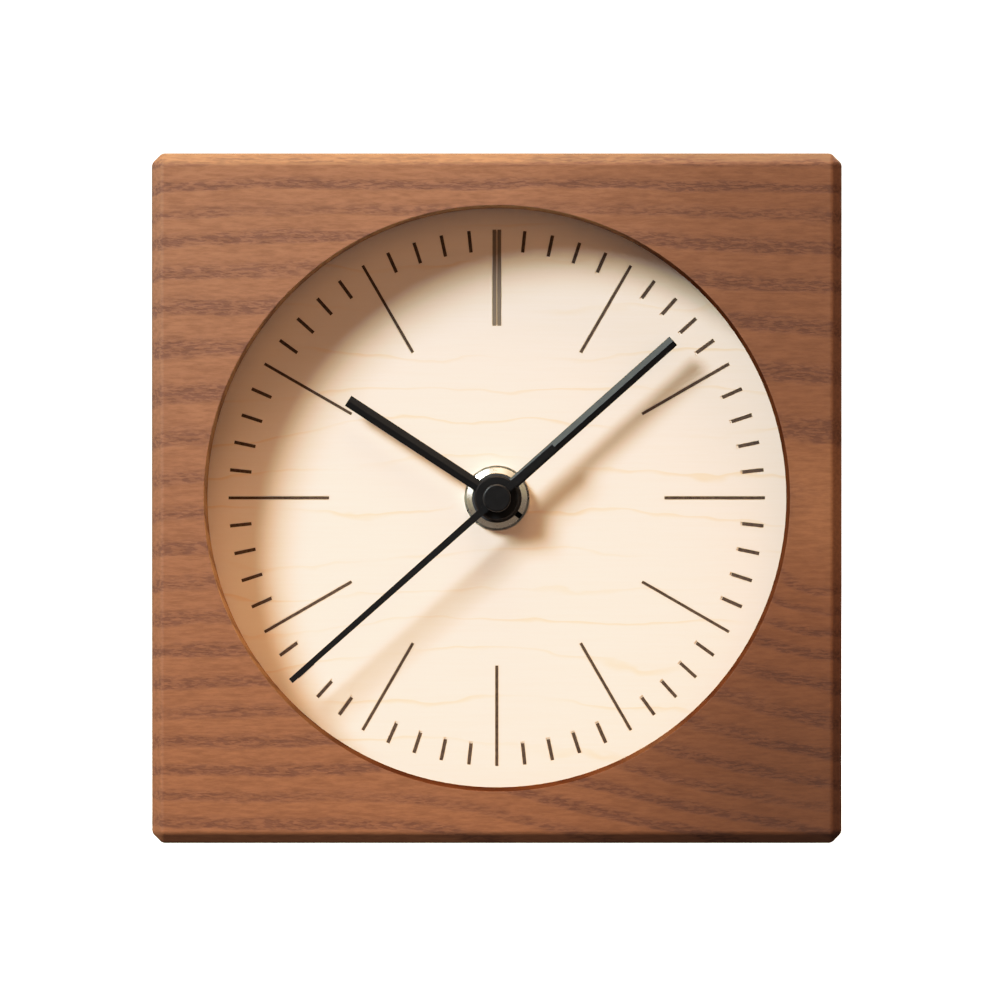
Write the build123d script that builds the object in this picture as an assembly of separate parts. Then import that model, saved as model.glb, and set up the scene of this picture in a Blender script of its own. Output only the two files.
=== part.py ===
from build123d import *
from math import acos, cos, pi, radians, sin, tan
import os

# Wooden desk clock with a round recessed dial and a quartz movement, in millimetres.
# Finished frame: X to the right, +Z up, the dial faces -Y, origin under the middle of the base.
# Each piece is drawn lying on its back: zero height is the face of the dial, +Z is towards the
# viewer, and the clock's axis is at the origin. The pieces are stood up together at the end.

# Wooden block, bored from the front and pocketed from the back
BLOCK_SIDE = 108.0
BLOCK_DEPTH = 45.0
BLOCK_CHAMFER = 1.6
RECESS_DEPTH = 13.0
RIM_WIDTH = 8.2
OPENING_CHAMFER = 0.2
POCKET_ROOM = 5.0
POCKET_CORNER = 8.0

# Dial board with engraved marks
DIAL_THICKNESS = 3.0
DIAL_CLEARANCE = 0.05
MARK_MARGIN = 3.4
MARK_DEPTH = 0.15
MINUTE_MARK_LENGTH = 3.65
MINUTE_MARK_WIDTH = 0.62
HOUR_MARK_LENGTH = 15.9
HOUR_MARK_WIDTH = 0.55
TOP_BAR_LENGTH = 15.2
TOP_BAR_STRIP = 0.66
TOP_BAR_LINE = 0.14
MARK_COUNT = 60
MARKS_PER_HOUR = 5

# Fixing of the movement to the dial: gasket behind, washer and ring nut in front
GASKET_THICKNESS = 0.8
GASKET_DIAMETER = 20.0
WASHER_THICKNESS = 0.4
WASHER_DIAMETER = 10.3
NUT_HEIGHT = 1.8
NUT_DIAMETER = 9.6
NUT_SLOPE_RUN = 0.9
NUT_SLOPE_RISE = 0.36
NUT_SLOT_WIDTH = 0.9
NUT_SLOT_DEPTH = 0.9
NUT_SLOT_ANGLE = -38.0
STEM_PROUD = 0.3
STEM_WALL = 1.35
STEM_HOLE_CLEARANCE = 0.2

# Hands, with the angles that they show, clockwise from twelve, and their tips' gaps to the opening
HOUR_LENGTH_SHARE = 0.753
HOUR_HAND_WIDTH = 1.9
HOUR_HAND_ANGLE = 303.2
MINUTE_TIP_GAP = 8.6
MINUTE_HAND_WIDTH = 1.85
MINUTE_HAND_ANGLE = 48.3
SECOND_TIP_GAP = 2.5
SECOND_TAIL_LENGTH = 12.1
SECOND_ROOT_WIDTH = 1.15
SECOND_TIP_WIDTH = 0.88
SECOND_HAND_ANGLE = 228.4
HAND_THICKNESS = 0.3
HAND_RIDGE = 0.3
HAND_LIFT = 0.35
HAND_GAP = 0.4
BOSS_DIAMETER = 7.1
BOSS_HEIGHT = 1.3
BOSS_CHAMFER = 0.25
SECOND_TUBE_DIAMETER = 2.2
SECOND_TUBE_HEIGHT = 0.45
SECOND_CAP_DIAMETER = 4.4
SECOND_CAP_HEIGHT = 0.9
SECOND_CAP_ROUND = 0.3
ARBOR_IN_CAP = 0.45

# Coaxial arbors of the hands
SECOND_ARBOR_DIAMETER = 1.0
CANNON_WALL = 0.94
HOUR_PIPE_WALL = 0.94

# Fits, and the amount by which a cutting tool overshoots
RUNNING_CLEARANCE = 0.06
PRESS_GAP = 0.01
OVERRUN = 0.5

# Gear teeth: involute flanks with short addenda, so that small pinions run clear
PRESSURE_ANGLE = 25.0
WHEEL_ADDENDUM_SHARE = 0.70
PINION_ADDENDUM_SHARE = 0.90
WHEEL_DEDENDUM_SHARE = 1.15
PINION_DEDENDUM_SHARE = 0.95
WHEEL_FLANK_STEPS = 1
PINION_FLANK_STEPS = 2
TOOTH_THINNING = 0.05
ROTOR_TEETH = 8
IDLER_TEETH = 40
IDLER_PINION_TEETH = 8
SECOND_TEETH = 48
SECOND_PINION_TEETH = 8
THIRD_TEETH = 60
THIRD_PINION_TEETH = 8
CENTRE_TEETH = 64
CANNON_TEETH = 12
MOTION_TEETH = 36
MOTION_PINION_TEETH = 10
HOUR_TEETH = 40
SETTING_TEETH = 12
GOING_MODULE = 0.27
ROTOR_MODULE = 0.27
CANNON_RIM = 0.08

# Layers of the train, front to back, and the directions of its axes, anticlockwise from three
WHEEL_THICKNESS = 0.9
LAYER_GAP = 0.5
PINION_OVERLAP = 0.1
THIRD_ANGLE = 20.0
IDLER_ANGLE = 125.0
ROTOR_ANGLE = 150.0
MOTION_ANGLE = 200.0
SETTING_ANGLE = 180.0
ARBOR_DIAMETER = 1.2
ARBOR_ROOM = 0.4
PIVOT_DIAMETER = 0.8
PIVOT_LENGTH = 0.9
END_SHAKE = 0.15
SECOND_HUB_DIAMETER = 2.0
CROSSING_DIAMETER = 3.6
CROSSING_COUNT = 5
CROSSING_PLACE_SHARE = 0.6
CLUTCH_WALL = 0.8
CLUTCH_HEIGHT = 0.3
CLUTCH_SLIT = 0.3
CANNON_LIP = 0.2
STUD_DIAMETER = 1.5

# Moulded movement case, its cover and the bridge over the train
CASE_WALL = 1.4
CASE_CORNER = 2.5
CASE_ROOM = 1.6
COVER_THICKNESS = 1.4
COVER_LIP_WIDTH = 1.0
COVER_LIP_DEPTH = 1.4
COVER_CLEARANCE = 0.15
HOOK_WIDTH = 6.0
HOOK_LENGTH = 3.0
HOOK_REACH = 0.7
HOOK_HEIGHT = 1.0
HOOK_PLACE_SHARES = (0.42, -0.12)
PARTITION_THICKNESS = 1.2
TRAIN_ROOM = 1.97
BRIDGE_THICKNESS = 1.2
BRIDGE_RIM = 2.6
POST_DIAMETER = 3.6
BRIDGE_POST_SHARES = ((-0.70, 0.23), (0.70, -0.24), (0.40, 0.55))
SCREW_DIAMETER = 1.6
SCREW_HEAD_DIAMETER = 3.0
SCREW_HEAD_HEIGHT = 0.9
SCREW_LENGTH = 4.0
SCREW_SLOT_WIDTH = 0.4
SCREW_SLOT_DEPTH = 0.45

# Setting knob behind the cover
KNOB_DIAMETER = 13.0
KNOB_HEIGHT = 4.6
KNOB_GAP = 0.4
KNOB_FLUTES = 20
KNOB_FLUTE_DIAMETER = 1.4
KNOB_EDGE = 0.4
KNOB_DISH_DEPTH = 1.2
KNOB_RIM = 1.8
SETTING_SHAFT_DIAMETER = 2.2
SHAFT_IN_KNOB = 2.6

# Stepping motor
MAGNET_DIAMETER = 5.2
MAGNET_THICKNESS = 1.5
STATOR_THICKNESS = 0.9
STATOR_AIR_GAP = 0.4
STATOR_POLE_WALL = 1.4
STATOR_RISE = 9.5
LEG_ROOM = 2.75
STATOR_BAR_WIDTH = 3.2
STATOR_BAR_LIFT = 1.2
BOBBIN_ROOM = 1.2
BOBBIN_DIAMETER = 7.8
BOBBIN_FLANGE = 0.8
BOBBIN_TUBE_DIAMETER = 4.4
WINDING_DIAMETER = 7.0
CORE_CLEARANCE = 0.05
COIL_WALL_ROOM = 1.5

# Circuit board
BOARD_LENGTH = 20.0
BOARD_WIDTH = 7.4
BOARD_THICKNESS = 0.8
BOARD_POST_DIAMETER = 2.6
BOARD_PIN_DIAMETER = 1.2
BOARD_POST_INSET = 2.0
CRYSTAL_DIAMETER = 2.0
CRYSTAL_LENGTH = 6.0
CRYSTAL_PLACE_SHARE = 0.35
CHIP_DIAMETER = 4.0
CHIP_HEIGHT = 0.9
CHIP_PLACE_SHARE = 0.66

# Cell and its contacts
CELL_DIAMETER = 14.2
CELL_LENGTH = 50.5
CELL_NUB_DIAMETER = 5.5
CELL_NUB_HEIGHT = 1.2
CELL_EDGE = 0.6
CELL_CLEARANCE = 0.2
CONTACT_ROOM = 1.35
STRIP_THICKNESS = 0.3
STRIP_WIDTH = 4.0
STRIP_GAP = 0.1
CONTACT_GAP = 0.1
STRIP_FOOT = 4.5
STRIP_BEND = 2.0
BOW_SPAN = 11.0

AXIS = (0, 0)


# Basic shapes, between a back and a front height
def drum(radius, back, front, place=AXIS):
    return Pos(place[0], place[1], (back + front) / 2) * Cylinder(radius, front - back)


def ring(outer, inner, back, front, place=AXIS):
    return drum(outer, back, front, place) - drum(inner, back - OVERRUN, front + OVERRUN, place)


def slab(left, right, bottom, top, back, front):
    body = Box(right - left, top - bottom, front - back)
    return Pos((left + right) / 2, (bottom + top) / 2, (back + front) / 2) * body


def cross_slot(diameter, width, back, front):
    reach = diameter / 2 + OVERRUN
    return slab(-reach, reach, -width / 2, width / 2, back, front)


def plate(sketch, back, front):
    return extrude(Pos(0, 0, back) * sketch, amount=front - back)


def around(place, distance, angle):
    turn = radians(angle)
    return (place[0] + distance * cos(turn), place[1] + distance * sin(turn))


# Gear teeth
def involute(angle):
    return tan(angle) - angle


def gear_face(teeth, module, addendum_share, dedendum_share, steps, phase):
    pressure = radians(PRESSURE_ANGLE)
    pitch = module * teeth / 2
    base = pitch * cos(pressure)
    root = pitch - dedendum_share * module
    tip = pitch + addendum_share * module
    start = max(root, base)
    half_pitch = pi / (2 * teeth) - TOOTH_THINNING / (2 * pitch)
    flank = [start + (tip - start) * step / steps for step in range(steps + 1)]
    halves = [half_pitch + involute(pressure) - involute(acos(base / radius)) for radius in flank]
    if root < base:
        flank.insert(0, root)
        halves.insert(0, halves[0])
    rising = [(radius, -half) for radius, half in zip(flank, halves)]
    falling = [(radius, half) for radius, half in zip(reversed(flank), reversed(halves))]
    points = []
    for tooth in range(teeth):
        centre = phase + 2 * pi * tooth / teeth
        for radius, half in rising + falling:
            points.append((radius * cos(centre + half), radius * sin(centre + half)))
    return make_face(Polyline(*points, close=True))


def wheel(teeth, module, phase, back, front, place=AXIS):
    face = gear_face(teeth, module, WHEEL_ADDENDUM_SHARE, WHEEL_DEDENDUM_SHARE, WHEEL_FLANK_STEPS, phase)
    return plate(Pos(*place) * face, back, front)


def pinion(teeth, module, phase, back, front, place=AXIS):
    face = gear_face(teeth, module, PINION_ADDENDUM_SHARE, PINION_DEDENDUM_SHARE, PINION_FLANK_STEPS, phase)
    return plate(Pos(*place) * face, back, front)


def mesh_phase(teeth, phase, mate_teeth, line_angle):
    line = radians(line_angle)
    return line + pi + pi / mate_teeth - (phase - line) * teeth / mate_teeth


def crossings(radius, back, front, place=AXIS):
    holes = []
    for spoke in range(CROSSING_COUNT):
        hole = around(place, radius * CROSSING_PLACE_SHARE, spoke * 360 / CROSSING_COUNT)
        holes.append(drum(CROSSING_DIAMETER / 2, back - OVERRUN, front + OVERRUN, hole))
    return holes


# Opening, marks and hands, which follow the block's side
opening_radius = BLOCK_SIDE / 2 - RIM_WIDTH
mark_outer = opening_radius - MARK_MARGIN
second_length = opening_radius - SECOND_TIP_GAP
minute_length = opening_radius - MINUTE_TIP_GAP
hour_length = minute_length * HOUR_LENGTH_SHARE

# Radii of the nested arbors and of the holes for pivots and screws
arbor_radius = SECOND_ARBOR_DIAMETER / 2
cannon_inner = arbor_radius + RUNNING_CLEARANCE
cannon_outer = cannon_inner + CANNON_WALL
hour_inner = cannon_outer + RUNNING_CLEARANCE
hour_outer = hour_inner + HOUR_PIPE_WALL
stem_inner = hour_outer + RUNNING_CLEARANCE
stem_outer = stem_inner + STEM_WALL
pivot_hole = PIVOT_DIAMETER / 2 + RUNNING_CLEARANCE
screw_hole = SCREW_DIAMETER / 2 + PRESS_GAP

# Axes of the train
centre_tip = GOING_MODULE * (CENTRE_TEETH / 2 + WHEEL_ADDENDUM_SHARE)
third_distance = GOING_MODULE * (THIRD_PINION_TEETH + CENTRE_TEETH) / 2
third_module = 2 * third_distance / (SECOND_PINION_TEETH + THIRD_TEETH)
idler_distance = centre_tip + ARBOR_DIAMETER / 2 + ARBOR_ROOM
second_module = 2 * idler_distance / (SECOND_TEETH + IDLER_PINION_TEETH)
rotor_distance = ROTOR_MODULE * (ROTOR_TEETH + IDLER_TEETH) / 2
motion_module = (cannon_outer + CANNON_RIM) / (CANNON_TEETH / 2 - PINION_DEDENDUM_SHARE)
motion_distance = motion_module * (CANNON_TEETH + MOTION_TEETH) / 2
hour_module = 2 * motion_distance / (MOTION_PINION_TEETH + HOUR_TEETH)
setting_distance = motion_module * (SETTING_TEETH + MOTION_TEETH) / 2
third_place = around(AXIS, third_distance, THIRD_ANGLE)
idler_place = around(AXIS, idler_distance, IDLER_ANGLE)
rotor_place = around(idler_place, rotor_distance, ROTOR_ANGLE)
motion_place = around(AXIS, motion_distance, MOTION_ANGLE)
setting_place = around(motion_place, setting_distance, SETTING_ANGLE)

# Phases that put each tooth opposite a gap
idler_phase = mesh_phase(SECOND_TEETH, 0, IDLER_PINION_TEETH, IDLER_ANGLE)
rotor_phase = mesh_phase(IDLER_TEETH, 0, ROTOR_TEETH, ROTOR_ANGLE)
third_phase = mesh_phase(SECOND_PINION_TEETH, 0, THIRD_TEETH, THIRD_ANGLE)
centre_phase = mesh_phase(THIRD_PINION_TEETH, 0, CENTRE_TEETH, THIRD_ANGLE + 180)
motion_phase = mesh_phase(CANNON_TEETH, 0, MOTION_TEETH, MOTION_ANGLE)
hour_phase = mesh_phase(MOTION_PINION_TEETH, 0, HOUR_TEETH, MOTION_ANGLE + 180)
setting_phase = mesh_phase(MOTION_TEETH, motion_phase, SETTING_TEETH, SETTING_ANGLE)

# Heights in front of the dial
washer_front = WASHER_THICKNESS
nut_front = washer_front + NUT_HEIGHT
stem_front = nut_front + STEM_PROUD
hour_boss_back = stem_front + HAND_GAP
hour_boss_front = hour_boss_back + BOSS_HEIGHT
minute_boss_back = hour_boss_front + HAND_GAP
minute_boss_front = minute_boss_back + BOSS_HEIGHT
second_tube_back = minute_boss_front + HAND_GAP
second_blade_back = second_tube_back + SECOND_TUBE_HEIGHT
second_cap_back = second_blade_back + HAND_THICKNESS
second_cap_front = second_cap_back + SECOND_CAP_HEIGHT
second_arbor_front = second_cap_back + ARBOR_IN_CAP

# Heights behind the dial, front to back
block_front = RECESS_DEPTH
block_back = RECESS_DEPTH - BLOCK_DEPTH
dial_back = -DIAL_THICKNESS
case_front = dial_back - GASKET_THICKNESS
plate_back = case_front - CASE_WALL
hour_wheel_front = plate_back - LAYER_GAP
hour_wheel_back = hour_wheel_front - WHEEL_THICKNESS
motion_front = hour_wheel_back - LAYER_GAP
motion_back = motion_front - WHEEL_THICKNESS
centre_front = motion_back - LAYER_GAP
centre_back = centre_front - WHEEL_THICKNESS
third_front = centre_back - LAYER_GAP
third_back = third_front - WHEEL_THICKNESS
second_front = third_back - LAYER_GAP
second_back = second_front - WHEEL_THICKNESS
stator_front = second_front
stator_back = stator_front - STATOR_THICKNESS
magnet_front = (stator_front + stator_back + MAGNET_THICKNESS) / 2
magnet_back = magnet_front - MAGNET_THICKNESS
rotor_seat = magnet_front + LAYER_GAP
idler_front = min(second_back, magnet_back) - LAYER_GAP
idler_back = idler_front - WHEEL_THICKNESS
bridge_front = idler_back - LAYER_GAP
bridge_back = bridge_front - BRIDGE_THICKNESS
cell_level = plate_back - CELL_CLEARANCE - CELL_DIAMETER / 2
cell_back = cell_level - CELL_DIAMETER / 2
works_back = bridge_back - SCREW_HEAD_HEIGHT - CASE_ROOM
cover_front = min(works_back, cell_back + COVER_THICKNESS)
cover_back = cover_front - COVER_THICKNESS
knob_front = cover_back - KNOB_GAP
knob_back = knob_front - KNOB_HEIGHT

# Places across the movement case: the cell sets its width, and the cell, train and coil its height
inner_half = CELL_LENGTH / 2 + CONTACT_ROOM
case_half = inner_half + CASE_WALL
partition_top = -centre_tip - TRAIN_ROOM
partition_bottom = partition_top - PARTITION_THICKNESS
cell_across = partition_bottom - CELL_CLEARANCE - CELL_DIAMETER / 2
case_bottom = cell_across - CELL_DIAMETER / 2 - CELL_CLEARANCE - CASE_WALL
coil_across = rotor_place[1] + STATOR_RISE
strip_low = coil_across + BOBBIN_DIAMETER / 2 + COIL_WALL_ROOM
strip_high = strip_low + STRIP_THICKNESS
inner_top = strip_high + STRIP_GAP
case_top = inner_top + CASE_WALL
case_height = case_top - case_bottom
case_middle = (case_top + case_bottom) / 2
strip_outer = inner_half - STRIP_GAP
strip_inner = strip_outer - STRIP_THICKNESS
strip_back = cell_level - STRIP_WIDTH / 2
strip_front = cell_level + STRIP_WIDTH / 2
cell_right = strip_inner - CONTACT_GAP
cell_left = cell_right - CELL_LENGTH
board_right = strip_inner - CONTACT_GAP
board_left = board_right - BOARD_LENGTH
board_top = strip_low - CONTACT_GAP
board_bottom = board_top - BOARD_WIDTH
board_middle = (board_top + board_bottom) / 2
board_back = strip_back + BOARD_THICKNESS
board_front = board_back + BOARD_THICKNESS
board_pins = (board_left + BOARD_POST_INSET, board_right - BOARD_POST_INSET)
board_posts = [(across, board_middle) for across in board_pins]
bridge_posts = [(inner_half * across, inner_top * up) for across, up in BRIDGE_POST_SHARES]
core_front = stator_back
core_back = core_front - STATOR_THICKNESS
coil_level = (core_front + core_back) / 2
stator_reach = rotor_place[0] + inner_half - STATOR_BAR_WIDTH / 2 - LEG_ROOM
leg_places = [(rotor_place[0] + side * stator_reach, coil_across) for side in (-1, 1)]
bobbin_length = 2 * (stator_reach - STATOR_BAR_WIDTH / 2 - BOBBIN_ROOM)


# Block and dial
def case_block():
    half = BLOCK_SIDE / 2
    block = slab(-half, half, -half, half, block_back, block_front)
    block = chamfer(block.edges(), BLOCK_CHAMFER)
    block -= drum(opening_radius, dial_back, block_front + OVERRUN)
    pocket = RectangleRounded(2 * (case_half + POCKET_ROOM), case_height + 2 * POCKET_ROOM, POCKET_CORNER)
    block -= plate(Pos(0, case_middle) * pocket, block_back - OVERRUN, dial_back + OVERRUN)
    mouth = block.edges().filter_by(GeomType.CIRCLE).group_by(Axis.Z)[-1]
    return chamfer(mouth, OPENING_CHAMFER)


def mark_sketch(width, length, number):
    middle = mark_outer - length / 2
    return Rot(0, 0, -number * 360 / MARK_COUNT) * Pos(0, middle) * Rectangle(width, length)


def dial():
    radius = opening_radius - DIAL_CLEARANCE
    board = ring(radius, stem_outer + STEM_HOLE_CLEARANCE, dial_back, 0)
    strip_middle = (TOP_BAR_STRIP + TOP_BAR_LINE) / 2
    strip = mark_sketch(TOP_BAR_STRIP, TOP_BAR_LENGTH, 0)
    marks = [Pos(side * strip_middle, 0) * strip for side in (-1, 1)]
    for number in range(1, MARK_COUNT):
        if number % MARKS_PER_HOUR == 0:
            marks.append(mark_sketch(HOUR_MARK_WIDTH, HOUR_MARK_LENGTH, number))
        else:
            marks.append(mark_sketch(MINUTE_MARK_WIDTH, MINUTE_MARK_LENGTH, number))
    return board - [plate(mark, -MARK_DEPTH, OVERRUN) for mark in marks]


# Gasket, washer and nut that clamp the dial to the movement
def stem_gasket():
    return ring(GASKET_DIAMETER / 2, stem_outer + STEM_HOLE_CLEARANCE, case_front, dial_back)


def nut_washer():
    return ring(WASHER_DIAMETER / 2, stem_outer + STEM_HOLE_CLEARANCE, 0, washer_front)


def ring_nut():
    radius = NUT_DIAMETER / 2
    slope_back = nut_front - NUT_SLOPE_RISE
    slope = Cone(radius, radius - NUT_SLOPE_RUN, NUT_SLOPE_RISE)
    nut = drum(radius, washer_front, slope_back) + Pos(0, 0, (slope_back + nut_front) / 2) * slope
    nut -= drum(stem_outer + PRESS_GAP, washer_front - OVERRUN, nut_front + OVERRUN)
    slot = cross_slot(NUT_DIAMETER, NUT_SLOT_WIDTH, nut_front - NUT_SLOT_DEPTH, nut_front + OVERRUN)
    return nut - Rot(0, 0, NUT_SLOT_ANGLE) * slot


# Hands
def ridged_blade(width, length, back):
    edge = back + HAND_THICKNESS
    half = width / 2
    outline = Polyline((-half, back), (half, back), (half, edge), (0, edge + HAND_RIDGE), (-half, edge),
                       close=True)
    section = Plane.XZ * make_face(outline)
    return extrude(section, amount=length, dir=(0, 1, 0))


def bossed_hand(width, length, angle, bore, back, front):
    boss = chamfer(drum(BOSS_DIAMETER / 2, back, front).edges().group_by(Axis.Z)[-1], BOSS_CHAMFER)
    hand = boss + ridged_blade(width, length, back + HAND_LIFT)
    hand -= drum(bore + PRESS_GAP, back - OVERRUN, front + OVERRUN)
    return Rot(0, 0, -angle) * hand


def hour_hand():
    return bossed_hand(HOUR_HAND_WIDTH, hour_length, HOUR_HAND_ANGLE, hour_outer,
                       hour_boss_back, hour_boss_front)


def minute_hand():
    return bossed_hand(MINUTE_HAND_WIDTH, minute_length, MINUTE_HAND_ANGLE, cannon_outer,
                       minute_boss_back, minute_boss_front)


def second_hand():
    root = SECOND_ROOT_WIDTH / 2
    tip = SECOND_TIP_WIDTH / 2
    outline = Polyline((-root, -SECOND_TAIL_LENGTH), (root, -SECOND_TAIL_LENGTH), (root, 0),
                       (tip, second_length), (-tip, second_length), (-root, 0), close=True)
    hand = plate(make_face(outline), second_blade_back, second_cap_back)
    hand += drum(SECOND_TUBE_DIAMETER / 2, second_tube_back, second_cap_back)
    hand -= drum(arbor_radius + PRESS_GAP, second_tube_back - OVERRUN, second_cap_back + OVERRUN)
    return Rot(0, 0, -SECOND_HAND_ANGLE) * hand


def second_cap():
    cap = drum(SECOND_CAP_DIAMETER / 2, second_cap_back, second_cap_front)
    cap = fillet(cap.edges().group_by(Axis.Z)[-1], SECOND_CAP_ROUND)
    return cap - drum(arbor_radius + PRESS_GAP, second_cap_back - OVERRUN, second_arbor_front + PRESS_GAP)


# Coaxial arbors and the wheels on them
def second_arbor():
    return drum(arbor_radius, bridge_front - PIVOT_LENGTH, second_arbor_front)


def second_wheel():
    leaves = pinion(SECOND_PINION_TEETH, third_module, 0, second_front, third_front + PINION_OVERLAP)
    disc = wheel(SECOND_TEETH, second_module, 0, second_back, second_front)
    hub = drum(SECOND_HUB_DIAMETER / 2, bridge_front + END_SHAKE, second_back)
    radius = second_module * SECOND_TEETH / 2
    body = disc - crossings(radius, second_back, second_front) + leaves + hub
    return body - drum(arbor_radius + PRESS_GAP, bridge_front - OVERRUN, third_front + OVERRUN)


def cannon_pinion():
    tube_back = centre_back - PINION_OVERLAP
    lip_back = tube_back - CANNON_LIP
    body = drum(cannon_outer, tube_back, minute_boss_front)
    teeth_back, teeth_front = motion_back - PINION_OVERLAP, motion_front + PINION_OVERLAP
    body += pinion(CANNON_TEETH, motion_module, 0, teeth_back, teeth_front)
    body += drum(cannon_outer + CANNON_LIP, lip_back, tube_back)
    return body - drum(cannon_inner, lip_back - OVERRUN, minute_boss_front + OVERRUN)


def centre_wheel():
    disc = wheel(CENTRE_TEETH, GOING_MODULE, centre_phase, centre_back, centre_front)
    disc -= crossings(GOING_MODULE * CENTRE_TEETH / 2, centre_back, centre_front)
    bore = cannon_outer + RUNNING_CLEARANCE / 2
    collar_front = centre_front + CLUTCH_HEIGHT
    disc += drum(bore + CLUTCH_WALL, centre_front, collar_front)
    disc -= drum(bore, centre_back - OVERRUN, collar_front + OVERRUN)
    collar = 2 * (bore + CLUTCH_WALL)
    return disc - cross_slot(collar, CLUTCH_SLIT, centre_back - OVERRUN, collar_front + OVERRUN)


def hour_wheel():
    body = wheel(HOUR_TEETH, hour_module, hour_phase, hour_wheel_back, hour_wheel_front)
    body += drum(hour_outer, hour_wheel_front, hour_boss_front)
    return body - drum(hour_inner, hour_wheel_back - OVERRUN, hour_boss_front + OVERRUN)


# Wheels that turn on arbors of their own
def arbor(front, back, place):
    body = drum(ARBOR_DIAMETER / 2, back + END_SHAKE, front - END_SHAKE, place)
    return body + drum(PIVOT_DIAMETER / 2, back - PIVOT_LENGTH, front + PIVOT_LENGTH, place)


def third_wheel():
    disc = wheel(THIRD_TEETH, third_module, third_phase, third_back, third_front, third_place)
    disc -= crossings(third_module * THIRD_TEETH / 2, third_back, third_front, third_place)
    leaves_front = centre_front + PINION_OVERLAP
    leaves = pinion(THIRD_PINION_TEETH, GOING_MODULE, 0, third_front, leaves_front, third_place)
    return disc + leaves + arbor(plate_back, bridge_front, third_place)


def idler_wheel():
    disc = wheel(IDLER_TEETH, ROTOR_MODULE, 0, idler_back, idler_front, idler_place)
    leaves_front = second_front + PINION_OVERLAP
    leaves = pinion(IDLER_PINION_TEETH, second_module, idler_phase, idler_front, leaves_front, idler_place)
    return disc + leaves + arbor(plate_back, bridge_front, idler_place)


def motion_wheel():
    disc = wheel(MOTION_TEETH, motion_module, motion_phase, motion_back, motion_front, motion_place)
    leaves_front = hour_wheel_front + PINION_OVERLAP
    leaves = pinion(MOTION_PINION_TEETH, hour_module, 0, motion_front, leaves_front, motion_place)
    bore = drum(STUD_DIAMETER / 2 + RUNNING_CLEARANCE, motion_back - OVERRUN, plate_back, motion_place)
    return disc + leaves - bore


# Rotor: a magnet on a moulded pinion
def rotor_pinion():
    leaves_back = bridge_front + END_SHAKE
    leaves = pinion(ROTOR_TEETH, ROTOR_MODULE, rotor_phase, leaves_back, magnet_back, rotor_place)
    spindle = drum(ARBOR_DIAMETER / 2, magnet_back, rotor_seat - END_SHAKE, rotor_place)
    pivots = drum(PIVOT_DIAMETER / 2, bridge_front - PIVOT_LENGTH, rotor_seat + PIVOT_LENGTH, rotor_place)
    return leaves + spindle + pivots


def rotor_magnet():
    return ring(MAGNET_DIAMETER / 2, ARBOR_DIAMETER / 2 + PRESS_GAP, magnet_back, magnet_front, rotor_place)


# Setting shaft and knob
def setting_pinion():
    shaft = drum(SETTING_SHAFT_DIAMETER / 2, knob_front - SHAFT_IN_KNOB, motion_back, setting_place)
    leaves_front = motion_front + PINION_OVERLAP
    leaves = pinion(SETTING_TEETH, motion_module, setting_phase, motion_back, leaves_front, setting_place)
    pivot = drum(PIVOT_DIAMETER / 2, motion_back, plate_back + PIVOT_LENGTH, setting_place)
    return shaft + leaves + pivot


def setting_knob():
    radius = KNOB_DIAMETER / 2
    knob = chamfer(drum(radius, knob_back, knob_front, setting_place).edges(), KNOB_EDGE)
    flutes = []
    for flute in range(KNOB_FLUTES):
        groove = around(setting_place, radius + KNOB_FLUTE_DIAMETER / 4, flute * 360 / KNOB_FLUTES)
        flutes.append(drum(KNOB_FLUTE_DIAMETER / 2, knob_back - OVERRUN, knob_front + OVERRUN, groove))
    knob -= flutes
    knob -= drum(radius - KNOB_RIM, knob_back - OVERRUN, knob_back + KNOB_DISH_DEPTH, setting_place)
    socket_back = knob_front - SHAFT_IN_KNOB - PRESS_GAP
    socket = SETTING_SHAFT_DIAMETER / 2 + PRESS_GAP
    return knob - drum(socket, socket_back, knob_front + OVERRUN, setting_place)


# Moulded case of the movement
def hook_box(side, up_share, room, back, front, inner, outer):
    up = case_top * up_share
    half = HOOK_WIDTH / 2 + room
    across = sorted((side * inner, side * outer))
    return slab(across[0], across[1], up - half, up + half, back, front)


def hook_levels(room):
    back = cover_front + HOOK_LENGTH - HOOK_HEIGHT - room
    return back, cover_front + HOOK_LENGTH + room


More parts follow.
